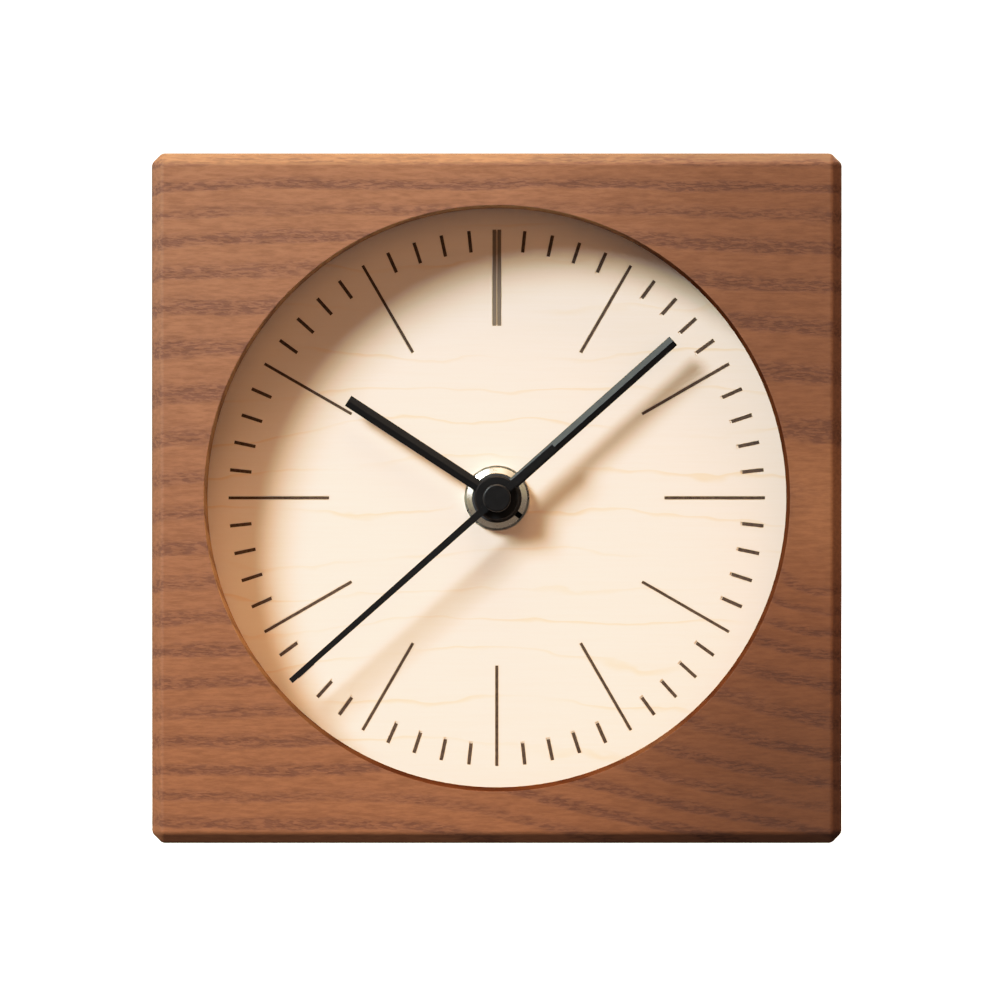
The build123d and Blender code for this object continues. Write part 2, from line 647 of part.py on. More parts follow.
def movement_case():
    middle = Pos(0, case_middle)
    outline = RectangleRounded(2 * case_half, case_height, CASE_CORNER)
    cavity = RectangleRounded(2 * inner_half, case_height - 2 * CASE_WALL, CASE_CORNER - CASE_WALL)
    case = plate(middle * outline, cover_front, case_front)
    case -= plate(middle * cavity, cover_front - OVERRUN, plate_back)
    case += ring(stem_outer, stem_inner, plate_back, stem_front)
    partition_half = strip_inner - STRIP_GAP
    case += slab(-partition_half, partition_half, partition_bottom, partition_top, cover_front, plate_back)
    case += [drum(POST_DIAMETER / 2, bridge_front, plate_back, place) for place in bridge_posts]
    case += [drum(POST_DIAMETER / 2, stator_front, plate_back, place) for place in leg_places]
    case += [drum(BOARD_POST_DIAMETER / 2, board_front, plate_back, place) for place in board_posts]
    case += [drum(BOARD_PIN_DIAMETER / 2, board_back, board_front, place) for place in board_posts]
    case += drum(POST_DIAMETER / 2, rotor_seat, plate_back, rotor_place)
    case += drum(STUD_DIAMETER / 2, motion_back, plate_back, motion_place)
    holes = [drum(stem_inner, plate_back - OVERRUN, stem_front + OVERRUN)]
    for place in (third_place, idler_place, setting_place):
        holes.append(drum(pivot_hole, plate_back - OVERRUN, plate_back + PIVOT_LENGTH + END_SHAKE, place))
    holes.append(drum(pivot_hole, rotor_seat - OVERRUN, rotor_seat + PIVOT_LENGTH + END_SHAKE, rotor_place))
    for seat, places in ((bridge_back, bridge_posts), (core_back, leg_places)):
        for place in places:
            holes.append(drum(screw_hole, seat - OVERRUN, seat + SCREW_LENGTH + PRESS_GAP, place))
    back, front = hook_levels(COVER_CLEARANCE)
    inner, outer = inner_half - OVERRUN, case_half + OVERRUN
    for side in (-1, 1):
        for up_share in HOOK_PLACE_SHARES:
            holes.append(hook_box(side, up_share, COVER_CLEARANCE, back, front, inner, outer))
    return case - holes


def movement_cover():
    cover = slab(-case_half, case_half, partition_bottom, case_top, cover_back, cover_front)
    corners = cover.edges().filter_by(Axis.Z).group_by(Axis.Y)[-1]
    cover = fillet(corners, CASE_CORNER)
    lip_outer = inner_half - COVER_CLEARANCE
    lip_inner = lip_outer - COVER_LIP_WIDTH
    lip_bottom = partition_top + COVER_CLEARANCE
    lip_top = inner_top - COVER_CLEARANCE
    lip_front = cover_front + COVER_LIP_DEPTH
    lip = slab(-lip_outer, lip_outer, lip_bottom, lip_top, cover_front, lip_front)
    cover += fillet(lip.edges().filter_by(Axis.Z).group_by(Axis.Y)[-1], CASE_CORNER - CASE_WALL)
    lip_floor = lip_bottom + COVER_LIP_WIDTH
    lip_ceiling = lip_top - COVER_LIP_WIDTH
    cover -= slab(-lip_inner, lip_inner, lip_floor, lip_ceiling, cover_front, lip_front + OVERRUN)
    back, front = hook_levels(0)
    for side in (-1, 1):
        for up_share in HOOK_PLACE_SHARES:
            cover += hook_box(side, up_share, 0, cover_front, front, lip_inner, lip_outer)
            cover += hook_box(side, up_share, 0, back, front, lip_outer, lip_outer + HOOK_REACH)
    shaft_hole = SETTING_SHAFT_DIAMETER / 2 + RUNNING_CLEARANCE
    return cover - drum(shaft_hole, cover_back - OVERRUN, cover_front + OVERRUN, setting_place)


def train_bridge():
    pads = [Pos(*place) * Circle(BRIDGE_RIM) for place in (*bridge_posts, rotor_place, third_place, AXIS)]
    body = plate(make_hull([pad.edge() for pad in pads]), bridge_back, bridge_front)
    bores = [(arbor_radius + RUNNING_CLEARANCE, AXIS)]
    bores += [(pivot_hole, place) for place in (third_place, idler_place, rotor_place)]
    bores += [(screw_hole, place) for place in bridge_posts]
    back, front = bridge_back - OVERRUN, bridge_front + OVERRUN
    return body - [drum(bore, back, front, place) for bore, place in bores]


def screw(seat, place):
    body = drum(SCREW_HEAD_DIAMETER / 2, seat - SCREW_HEAD_HEIGHT, seat, place)
    body += drum(SCREW_DIAMETER / 2, seat, seat + SCREW_LENGTH, place)
    head_back = seat - SCREW_HEAD_HEIGHT
    slot_floor = head_back + SCREW_SLOT_DEPTH
    slot = cross_slot(SCREW_HEAD_DIAMETER, SCREW_SLOT_WIDTH, head_back - OVERRUN, slot_floor)
    return body - Pos(*place) * slot


def bridge_screws():
    return Compound(children=[screw(bridge_back, place) for place in bridge_posts])


def stator_screws():
    return Compound(children=[screw(core_back, place) for place in leg_places])


# Stepping motor
def stator():
    hole = MAGNET_DIAMETER / 2 + STATOR_AIR_GAP
    bar_low = rotor_place[1] + STATOR_BAR_LIFT - STATOR_BAR_WIDTH / 2
    bar_high = bar_low + STATOR_BAR_WIDTH
    half_width = STATOR_BAR_WIDTH / 2
    body = drum(hole + STATOR_POLE_WALL, stator_back, stator_front, rotor_place)
    left, right = (place[0] for place in leg_places)
    body += slab(left - half_width, right + half_width, bar_low, bar_high, stator_back, stator_front)
    for place in leg_places:
        leg_left, leg_right = place[0] - half_width, place[0] + half_width
        body += slab(leg_left, leg_right, bar_low, place[1], stator_back, stator_front)
        body += drum(half_width, stator_back, stator_front, place)
    bores = [(hole, rotor_place)] + [(screw_hole, place) for place in leg_places]
    back, front = stator_back - OVERRUN, stator_front + OVERRUN
    return body - [drum(bore, back, front, place) for bore, place in bores]


def coil_core():
    half_width = STATOR_BAR_WIDTH / 2
    left, right = (place[0] for place in leg_places)
    body = slab(left, right, coil_across - half_width, coil_across + half_width, core_back, core_front)
    body += [drum(half_width, core_back, core_front, place) for place in leg_places]
    back, front = core_back - OVERRUN, core_front + OVERRUN
    return body - [drum(screw_hole, back, front, place) for place in leg_places]


def coil_drum(radius, left, right):
    body = Rot(0, 90, 0) * Cylinder(radius, right - left)
    return Pos((left + right) / 2, coil_across, coil_level) * body


def coil_bobbin():
    left = rotor_place[0] - bobbin_length / 2
    right = left + bobbin_length
    body = coil_drum(BOBBIN_TUBE_DIAMETER / 2, left, right)
    body += coil_drum(BOBBIN_DIAMETER / 2, left, left + BOBBIN_FLANGE)
    body += coil_drum(BOBBIN_DIAMETER / 2, right - BOBBIN_FLANGE, right)
    half_width = STATOR_BAR_WIDTH / 2 + CORE_CLEARANCE
    return body - slab(left - OVERRUN, right + OVERRUN, coil_across - half_width, coil_across + half_width,
                       core_back - CORE_CLEARANCE, core_front + CORE_CLEARANCE)


def coil_winding():
    left = rotor_place[0] - bobbin_length / 2 + BOBBIN_FLANGE + CORE_CLEARANCE
    right = left + bobbin_length - 2 * (BOBBIN_FLANGE + CORE_CLEARANCE)
    body = coil_drum(WINDING_DIAMETER / 2, left, right)
    return body - coil_drum(BOBBIN_TUBE_DIAMETER / 2 + PRESS_GAP, left - OVERRUN, right + OVERRUN)


# Circuit board with its crystal and sealed chip
def circuit_board():
    body = slab(board_left, board_right, board_bottom, board_top, board_back, board_front)
    pin_hole = BOARD_PIN_DIAMETER / 2 + PRESS_GAP
    back, front = board_back - OVERRUN, board_front + OVERRUN
    return body - [drum(pin_hole, back, front, place) for place in board_posts]


def quartz_crystal():
    middle = board_left + BOARD_LENGTH * CRYSTAL_PLACE_SHARE
    body = Rot(0, 90, 0) * Cylinder(CRYSTAL_DIAMETER / 2, CRYSTAL_LENGTH)
    return Pos(middle, board_middle, board_back - CRYSTAL_DIAMETER / 2 - PRESS_GAP) * body


def driver_chip():
    middle = board_left + BOARD_LENGTH * CHIP_PLACE_SHARE
    body = drum(CHIP_DIAMETER / 2, board_back - CHIP_HEIGHT, board_back, (middle, board_middle))
    return fillet(body.edges().group_by(Axis.Z)[0], CHIP_HEIGHT / 2)


# Cell and its two contact strips
def cell():
    length = CELL_LENGTH - CELL_NUB_HEIGHT
    can = chamfer(Cylinder(CELL_DIAMETER / 2, length).edges(), CELL_EDGE)
    nub_middle = (length + CELL_NUB_HEIGHT) / 2
    can += Pos(0, 0, nub_middle) * Cylinder(CELL_NUB_DIAMETER / 2, CELL_NUB_HEIGHT)
    return Pos(cell_left + length / 2, cell_across, cell_level) * Rot(0, 90, 0) * can


def positive_contact():
    return slab(strip_inner, strip_outer, cell_across - STRIP_FOOT, board_middle, strip_back, strip_front)


def negative_contact():
    low = cell_across - BOW_SPAN / 2
    high = low + BOW_SPAN
    crown = cell_left - CONTACT_GAP
    strip_end = board_left + BOARD_LENGTH / 2
    outline = [
        ThreePointArc((-strip_outer, low), (crown - STRIP_THICKNESS, cell_across), (-strip_outer, high)),
        FilletPolyline((-strip_outer, high), (-strip_outer, strip_high), (strip_end, strip_high),
                       radius=STRIP_BEND),
        Line((strip_end, strip_high), (strip_end, strip_low)),
        FilletPolyline((strip_end, strip_low), (-strip_inner, strip_low), (-strip_inner, high),
                       radius=STRIP_BEND - STRIP_THICKNESS),
        ThreePointArc((-strip_inner, high), (crown, cell_across), (-strip_inner, low)),
        Line((-strip_inner, low), (-strip_outer, low)),
    ]
    return plate(make_face(outline), strip_back, strip_front)


PIECES = (
    case_block, dial, stem_gasket, nut_washer, ring_nut, hour_hand, minute_hand, second_hand, second_cap,
    second_arbor, second_wheel, cannon_pinion, centre_wheel, hour_wheel, third_wheel, idler_wheel,
    motion_wheel, rotor_pinion, rotor_magnet, setting_pinion, setting_knob, movement_case, movement_cover,
    train_bridge, bridge_screws, stator_screws, stator, coil_core, coil_bobbin, coil_winding, circuit_board,
    quartz_crystal, driver_chip, cell, positive_contact, negative_contact,
)

# Stand the clock up: drawn height turns towards -Y, and the base comes down to zero
dial_centre = (0, RECESS_DEPTH - BLOCK_DEPTH / 2, BLOCK_SIDE / 2)
upright = Plane(origin=dial_centre, x_dir=(1, 0, 0), z_dir=(0, -1, 0))
os.makedirs("parts", exist_ok=True)
for piece in PIECES:
    export_step(upright.location * piece(), f"parts/{piece.__name__}.step")
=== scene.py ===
import math

import bmesh
import bpy
from mathutils import Matrix, Vector


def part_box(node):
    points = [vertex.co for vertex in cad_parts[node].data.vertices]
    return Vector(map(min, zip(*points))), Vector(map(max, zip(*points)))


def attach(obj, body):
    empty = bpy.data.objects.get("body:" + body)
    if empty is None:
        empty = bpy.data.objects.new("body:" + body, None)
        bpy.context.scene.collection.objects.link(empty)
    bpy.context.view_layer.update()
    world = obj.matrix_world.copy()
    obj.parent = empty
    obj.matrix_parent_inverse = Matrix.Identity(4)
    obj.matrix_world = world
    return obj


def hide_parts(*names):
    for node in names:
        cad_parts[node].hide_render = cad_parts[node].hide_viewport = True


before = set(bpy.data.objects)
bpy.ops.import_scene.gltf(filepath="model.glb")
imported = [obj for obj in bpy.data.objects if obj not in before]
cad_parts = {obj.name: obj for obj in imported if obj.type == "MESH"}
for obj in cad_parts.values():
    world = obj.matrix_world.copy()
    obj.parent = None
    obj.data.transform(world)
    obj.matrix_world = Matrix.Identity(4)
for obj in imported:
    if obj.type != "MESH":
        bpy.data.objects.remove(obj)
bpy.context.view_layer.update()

# Wooden block: one piece of brown-stained, open-pored hardwood with its grain lying across the face.
# It is planed square with chamfered edges, bored from the front for the dial and pocketed from the back
# for the movement. The corners are eased with sandpaper, and the wood has a thin satin oil.
block_low, block_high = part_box("case_block")
block_half = (block_high.x - block_low.x) / 2
middle_height = (block_high.z + block_low.z) / 2
dial_low, dial_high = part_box("dial")
dial_radius = (dial_high.x - dial_low.x) / 2
BLOCK_CHAMFER = 0.0016
OPENING_RADIUS = 0.0458
POCKET_HALF = 0.033
POCKET_CORNER = 0.008
DIAL_FIT = 0.000005
EASED_EDGE = 0.0004
OPENING_EDGE = 0.0001
EASING_STEPS = 3
SHARP_EDGE = math.radians(30)
MERGE_DISTANCE = 1e-7
SIDE_STEPS = 32
CORNER_STEPS = 8
BORE_WALL_STRIP = 1


def around_block(side_points, y):
    ring = []
    for quarter in range(4):
        turn = Matrix.Rotation(math.radians(90 * quarter), 2)
        for point in side_points:
            across, up = turn @ Vector(point)
            ring.append((across, y, middle_height + up))
    return ring


def side_angles():
    return [math.radians(90 * step / SIDE_STEPS - 45) for step in range(SIDE_STEPS + 1)]


def round_side(radius):
    return [(radius * math.cos(angle), radius * math.sin(angle)) for angle in side_angles()]


def square_side(half, cut):
    return [(half, (half - cut) * math.tan(angle)) for angle in side_angles()]


def pocket_side():
    straight = POCKET_HALF - POCKET_CORNER
    corner = []
    for step in range(CORNER_STEPS + 1):
        angle = math.radians(45 * step / CORNER_STEPS)
        across = straight + POCKET_CORNER * math.cos(angle)
        up = straight + POCKET_CORNER * math.sin(angle)
        corner.append((across, up))
    run = SIDE_STEPS - 2 * CORNER_STEPS
    flat = [(POCKET_HALF, straight * (2 * step / run - 1)) for step in range(1, run)]
    return [(across, -up) for across, up in reversed(corner)] + flat + corner


face_half = block_half - BLOCK_CHAMFER
front, rear = block_low.y, block_high.y
block_rings = [
    around_block(pocket_side(), dial_high.y),
    around_block(round_side(dial_radius + DIAL_FIT), dial_high.y),
    around_block(round_side(OPENING_RADIUS), front),
    around_block(square_side(face_half, 0), front),
    around_block(square_side(block_half, BLOCK_CHAMFER), front + BLOCK_CHAMFER),
    around_block(square_side(block_half, BLOCK_CHAMFER), rear - BLOCK_CHAMFER),
    around_block(square_side(face_half, 0), rear),
    around_block(pocket_side(), rear),
]


def mesh_from(builder, name):
    mesh = bpy.data.meshes.new(name)
    builder.to_mesh(mesh)
    builder.free()
    piece = bpy.data.objects.new(name, mesh)
    bpy.context.scene.collection.objects.link(piece)
    return piece


block_mesh = bmesh.new()
grid = [[block_mesh.verts.new(point) for point in ring] for ring in block_rings]
for strip, (ring, following) in enumerate(zip(grid, grid[1:] + grid[:1])):
    for place in range(len(ring)):
        nearby = (place + 1) % len(ring)
        side = block_mesh.faces.new((ring[place], ring[nearby], following[nearby], following[place]))
        side.material_index = 1 if strip == BORE_WALL_STRIP else 0
bmesh.ops.remove_doubles(block_mesh, verts=block_mesh.verts, dist=MERGE_DISTANCE)
bmesh.ops.dissolve_degenerate(block_mesh, edges=block_mesh.edges, dist=MERGE_DISTANCE)
bmesh.ops.recalc_face_normals(block_mesh, faces=block_mesh.faces)
for polygon in block_mesh.faces:
    polygon.smooth = True
easing_share = block_mesh.edges.layers.float.new("bevel_weight_edge")
opening_corner = OPENING_RADIUS + EASED_EDGE
for edge in block_mesh.edges:
    across, along, up = (edge.verts[0].co + edge.verts[1].co) / 2
    opening = along < front + EASED_EDGE and math.hypot(across, up - middle_height) < opening_corner
    if edge.calc_face_angle(0.0) > SHARP_EDGE:
        edge[easing_share] = OPENING_EDGE / EASED_EDGE if opening else 1.0
wood_block = mesh_from(block_mesh, "wood_block")
easing = wood_block.modifiers.new("eased_edges", "BEVEL")
easing.width = EASED_EDGE
easing.segments = EASING_STEPS
easing.limit_method = "WEIGHT"
easing.harden_normals = True

# The wood's figure, in millimetres of the clock's frame, and its colours
HEART_DEPTH = 14.0
HEART_HEIGHT = 330.0
RING_CROWDING = 0.9
MIDDLE_SLACK = 16.4
GRAIN_DIP = 13.0
YEAR_GROWTH = 3.8
SWIRL = {"middle": (50.0, 43.0), "reach": (11.0, 9.0), "height": 8.0}
PALE_PATCH = {"middle": (52.0, 54.0), "reach": (15.0, 10.0), "height": 0.6}
# Painted light and shade: the stain colour is lit at the left and shaded at the right
STAIN_LEFT_PAINTED_LIGHT = (0.278, 0.128, 0.066, 1)
STAIN_RIGHT_PAINTED_SHADE = (0.176, 0.070, 0.031, 1)
STAIN_PALE = (0.298, 0.126, 0.052, 1)
# Painted shade: darker and redder towards the foot
FOOT_PAINTED_SHADE = (0.98, 0.825, 0.67, 1)
# Painted shade: the lower right corner darker and greyer
CORNER_PAINTED_SHADE = (0.72, 0.76, 0.82, 1)
FIBRE_TINT = (0.74, 0.70, 0.66, 1)
PORE_TINT = (0.59, 0.57, 0.68, 1)
END_GRAIN_TINT = (0.55, 0.48, 0.44, 1)
# Painted light and shade on the bore's wall: pale where it lies in shade, dark where the key light reaches
CUT_WOOD_PAINTED_LIGHT = (0.57, 0.32, 0.155, 1)
BORE_PAINTED_SHADE = (0.105, 0.030, 0.010, 1)


def wire(tree, kind, inputs, **settings):
    node = tree.nodes.new(kind)
    for name, value in settings.items():
        setattr(node, name, value)
    for name, value in inputs.items():
        if isinstance(value, bpy.types.NodeSocket):
            tree.links.new(value, node.inputs[name])
        else:
            node.inputs[name].default_value = value
    return node


def sums(tree, operation, *values):
    return wire(tree, "ShaderNodeMath", dict(enumerate(values)), operation=operation).outputs[0]


def step_up(tree, value, start, end, low=0.0, high=1.0):
    inputs = {"Value": value, "From Min": start, "From Max": end, "To Min": low, "To Max": high}
    return wire(tree, "ShaderNodeMapRange", inputs, interpolation_type="SMOOTHSTEP").outputs["Result"]


def millimetres(tree, stretch=(1, 1, 1)):
    place = wire(tree, "ShaderNodeTexCoord", {}).outputs["Object"]
    scale = [1000 * share for share in stretch]
    return wire(tree, "ShaderNodeVectorMath", {0: place, 1: scale}, operation="MULTIPLY").outputs[0]


def places(tree):
    return wire(tree, "ShaderNodeSeparateXYZ", {0: millimetres(tree)}).outputs


def cloudy(tree, stretch, detail=2.0, rough=0.5):
    inputs = {"Vector": millimetres(tree, stretch), "Scale": 1.0, "Detail": detail, "Roughness": rough}
    return wire(tree, "ShaderNodeTexNoise", inputs).outputs["Fac"]


def sway(tree, stretch, detail, width):
    return sums(tree, "MULTIPLY", sums(tree, "SUBTRACT", cloudy(tree, stretch, detail), 0.5), width)


def mound(tree, x, z, middle, reach, height):
    shares = []
    for place, centre, half in zip((x, z), middle, reach):
        shares.append(sums(tree, "MULTIPLY", sums(tree, "SUBTRACT", place, centre), 1 / half))
    spread = sums(tree, "ADD", *[sums(tree, "MULTIPLY", share, share) for share in shares])
    fall = sums(tree, "POWER", math.e, sums(tree, "MULTIPLY", spread, -1.0))
    return sums(tree, "MULTIPLY", fall, height)


def blend(tree, share, first, second, how="MIX"):
    inputs = {0: share, 6: first, 7: second}
    return wire(tree, "ShaderNodeMix", inputs, data_type="RGBA", blend_type=how).outputs[2]


def relief(tree, height, depth, strength):
    inputs = {"Height": height, "Distance": depth, "Strength": strength}
    return wire(tree, "ShaderNodeBump", inputs).outputs["Normal"]


def new_finish(name):
    finish = bpy.data.materials.new(name)
    finish.use_nodes = True
    return finish, finish.node_tree, finish.node_tree.nodes["Principled BSDF"]


def stained_wood(name, oiled):
    finish, tree, shader = new_finish(name)
    x, y, z = places(tree)
    # Growth rings about the tree's heart far above the block, wider apart across the middle of its height
    from_heart_y = sums(tree, "SUBTRACT", y, HEART_DEPTH)
    from_heart_z = sums(tree, "SUBTRACT", HEART_HEIGHT, z)
    squares = sums(tree, "ADD", sums(tree, "MULTIPLY", from_heart_y, from_heart_y),
                   sums(tree, "MULTIPLY", from_heart_z, from_heart_z))
    level = sums(tree, "SUBTRACT", HEART_HEIGHT, sums(tree, "SQRT", squares))
    level = sums(tree, "MULTIPLY", level, RING_CROWDING)
    level = sums(tree, "SUBTRACT", level, step_up(tree, z, 24.0, 98.0, 0.0, MIDDLE_SLACK))
    # The grain dips towards the lower right, past a small swirl in the right edge, and wavers as it grew
    dip = sums(tree, "MULTIPLY", step_up(tree, x, -20.0, 66.0), step_up(tree, z, 8.0, 100.0, GRAIN_DIP, 0.0))
    slow = sway(tree, (0.012, 0.03, 0.03), 1.0, 7.0)
    quick = sway(tree, (0.09, 0.4, 0.4), 2.0, 1.3)
    for bend in (dip, mound(tree, x, z, **SWIRL), slow, quick):
        level = sums(tree, "ADD", level, bend)
    years = sums(tree, "MULTIPLY", level, 1 / YEAR_GROWTH)
    year = sums(tree, "FRACT", years)
    ring = sums(tree, "FLOOR", years)
    vigour = wire(tree, "ShaderNodeTexWhiteNoise", {"W": ring}, noise_dimensions="1D").outputs["Value"]
    early = sums(tree, "MULTIPLY", step_up(tree, year, 0.02, 0.18), step_up(tree, year, 0.28, 0.62, 1.0, 0.0))
    early = sums(tree, "MULTIPLY", early, step_up(tree, vigour, 0.0, 1.0, 0.60, 1.0))
    late = sums(tree, "MULTIPLY", step_up(tree, year, 0.0, 0.10), step_up(tree, year, 0.20, 1.0, 0.16, 0.0))
    # Open pores: short dark dashes, crowded in the early wood and sparse elsewhere
    gaps = step_up(tree, cloudy(tree, (0.07, 0.25, 0.25), 1.0), 0.30, 0.56, 0.50, 1.0)
    pores = step_up(tree, cloudy(tree, (0.55, 2.4, 2.4), 2.0, 0.6), 0.38, 0.66)
    crowd = sums(tree, "MULTIPLY", early, gaps)
    crowd = sums(tree, "MULTIPLY", crowd, step_up(tree, pores, 0.0, 1.0, 0.36, 1.25))
    dark = sums(tree, "ADD", sums(tree, "ADD", crowd, late), sums(tree, "MULTIPLY", pores, 0.12))
    fibres = cloudy(tree, (0.36, 2.2, 2.2), 3.5, 0.65)
    if oiled:
        # Painted light and shade: lighter at the left, darker towards the right and towards the foot, and
        # redder low down
        along = sums(tree, "ADD", x, sway(tree, (0.10, 0.28, 0.28), 2.0, 30.0))
        body = blend(tree, step_up(tree, along, -14.0, 46.0), STAIN_LEFT_PAINTED_LIGHT, STAIN_RIGHT_PAINTED_SHADE)
        body = blend(tree, step_up(tree, z, 2.0, 92.0, 1.0, 0.0), body, FOOT_PAINTED_SHADE, "MULTIPLY")
        body = blend(tree, mound(tree, x, z, **PALE_PATCH), body, STAIN_PALE)
        # Painted shade: the lower right corner darker and greyer
        corner = sums(tree, "MULTIPLY", step_up(tree, x, 5.0, 50.0), step_up(tree, z, 8.0, 44.0, 1.0, 0.0))
        body = blend(tree, corner, body, CORNER_PAINTED_SHADE, "MULTIPLY")
    else:
        # The bore's wall: pale cut wood with painted light at its shaded upper left, and painted shade
        # darkening its lit right and lower sides
        painted_bore_shade = sums(tree, "MAXIMUM", step_up(tree, x, 4.0, 32.0), step_up(tree, z, 8.0, 44.0, 1.0, 0.0))
        body = blend(tree, painted_bore_shade, CUT_WOOD_PAINTED_LIGHT, BORE_PAINTED_SHADE)
    body = blend(tree, step_up(tree, fibres, 0.28, 0.74), body, FIBRE_TINT, "MULTIPLY")
    body = blend(tree, dark, body, PORE_TINT, "MULTIPLY")
    if oiled:
        # End grain drinks more stain
        facing = wire(tree, "ShaderNodeTexCoord", {}).outputs["Normal"]
        sideways = wire(tree, "ShaderNodeSeparateXYZ", {0: facing}).outputs["X"]
        end_grain = step_up(tree, sums(tree, "ABSOLUTE", sideways), 0.75, 0.98, 0.0, 0.55)
        body = blend(tree, end_grain, body, END_GRAIN_TINT, "MULTIPLY")
    tree.links.new(body, shader.inputs["Base Color"])
    tree.links.new(step_up(tree, dark, 0.0, 1.0, 0.56, 0.76), shader.inputs["Roughness"])
    height = sums(tree, "SUBTRACT", sums(tree, "MULTIPLY", fibres, 0.3), dark)
    tree.links.new(relief(tree, height, 0.00005, 0.35), shader.inputs["Normal"])
    shader.inputs["Specular IOR Level"].default_value = 0.28 if oiled else 0.0
    shader.inputs["Coat Weight"].default_value = 0.03 if oiled else 0.0
    shader.inputs["Coat Roughness"].default_value = 0.45
    return finish


wood_block.data.materials.append(stained_wood("stained_wood", True))
wood_block.data.materials.append(stained_wood("bore_wood", False))
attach(wood_block, "clock")
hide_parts("case_block")


# Dial board: a flat disc faced with pale maple, its faint wavy figure lying across like the block's grain.
# It drops into the bore and rests on the ledge round the pocket. The face is matt.
dial_middle = Vector((0.0, dial_low.y, middle_height))
MARK_OUTER_RADIUS = 0.0424
TOP_BAR_STRIP = {"Count": 12, "Cycle": 12, "First": 0, "Last": 0, "Length": 0.0152, "Width": 0.00066}
TOP_BAR_LINE = 0.00014
MAPLE_RING = 6.4
MAPLE_PALE = (0.845, 0.735, 0.625, 1)
MAPLE_FIBRE = (0.825, 0.700, 0.575, 1)
MAPLE_STREAK = (0.80, 0.58, 0.38, 1)
SCORCHED_MAPLE = (0.36, 0.25, 0.17, 1)


def pale_maple():
    finish, tree, shader = new_finish("pale_maple")
    x, y, z = places(tree)
    waves = sway(tree, (0.020, 0.05, 0.045), 1.5, 17.0)
    ripples = sway(tree, (0.11, 0.3, 0.3), 2.0, 3.0)
    level = sums(tree, "ADD", z, sums(tree, "ADD", waves, ripples))
    year = sums(tree, "FRACT", sums(tree, "MULTIPLY", level, 1 / MAPLE_RING))
    rise = step_up(tree, year, 0.06, 0.155)
    line = sums(tree, "MULTIPLY", rise, step_up(tree, year, 0.155, 0.19, 1.0, 0.0))
    patches = step_up(tree, cloudy(tree, (0.035, 0.10, 0.10), 1.0), 0.38, 0.62)
    streak = sums(tree, "MULTIPLY", line, patches)
    fibres = cloudy(tree, (0.10, 2.6, 2.6), 3.0, 0.6)
    body = blend(tree, step_up(tree, fibres, 0.25, 0.8, 0.0, 0.5), MAPLE_PALE, MAPLE_FIBRE)
    body = blend(tree, sums(tree, "MULTIPLY", streak, 0.6), body, MAPLE_STREAK)
    # The burning of twelve o'clock's two strips scorched the hair of wood between them, on the face alone
    top = 1000 * (middle_height + MARK_OUTER_RADIUS)
    bottom = top - 1000 * TOP_BAR_STRIP["Length"]
    surface = 1000 * dial_low.y
    scorch = step_up(tree, sums(tree, "ABSOLUTE", x), 0.10, 0.14, 0.75, 0.0)
    scorch = sums(tree, "MULTIPLY", scorch, step_up(tree, z, bottom, bottom + 0.2))
    scorch = sums(tree, "MULTIPLY", scorch, step_up(tree, z, top - 0.2, top, 1.0, 0.0))
    scorch = sums(tree, "MULTIPLY", scorch, step_up(tree, y, surface + 0.1, surface + 0.3, 1.0, 0.0))
    body = blend(tree, scorch, body, SCORCHED_MAPLE)
    tree.links.new(body, shader.inputs["Base Color"])
    tree.links.new(step_up(tree, fibres, 0.2, 0.8, 0.58, 0.70), shader.inputs["Roughness"])
    tree.links.new(relief(tree, fibres, 0.00002, 0.25), shader.inputs["Normal"])
    shader.inputs["Specular IOR Level"].default_value = 0.25
    return finish


def dress(finish, *nodes):
    for name in nodes:
        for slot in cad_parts[name].material_slots:
            slot.material = finish


dress(pale_maple(), "dial")

# Dial marks: burnt lines at the bottom of shallow engraved grooves, four short ones between each two hours.
# The hour lines are long, and twelve o'clock has a pair of wide strips with a hair of bare wood between.
MARK_DEPTH = 0.00015
MARK_SUNK = 0.00004
GROOVE_GAP = 0.00005
MINUTE_MARK = {"Count": 60, "Cycle": 5, "First": 1, "Last": 4, "Length": 0.0034, "Width": 0.00062}
HOUR_MARK = {"Count": 12, "Cycle": 12, "First": 1, "Last": 11, "Length": 0.0159, "Width": 0.00055}
CHAR_PALE = (0.085, 0.050, 0.029, 1)
CHAR_DARK = (0.045, 0.026, 0.016, 1)
CHAR_LIGHT_BURN = (0.165, 0.125, 0.092, 1)


def burnt_wood():
    finish, tree, shader = new_finish("burnt_wood")
    char = cloudy(tree, (1.6, 1.6, 1.6), 3.0, 0.6)
    body = blend(tree, step_up(tree, char, 0.3, 0.7), CHAR_PALE, CHAR_DARK)
    # Twelve o'clock's wide strips are burnt less deeply than the thin lines
    x, y, z = places(tree)
    above = step_up(tree, z, 1000 * middle_height, 1000 * middle_height + 1)
    wide = sums(tree, "MULTIPLY", step_up(tree, sums(tree, "ABSOLUTE", x), 1.0, 1.1, 1.0, 0.0), above)
    body = blend(tree, wide, body, CHAR_LIGHT_BURN)
    tree.links.new(body, shader.inputs["Base Color"])
    tree.links.new(step_up(tree, char, 0.2, 0.8, 0.75, 0.95), shader.inputs["Roughness"])
    tree.links.new(relief(tree, char, 0.00003, 0.5), shader.inputs["Normal"])
    return finish


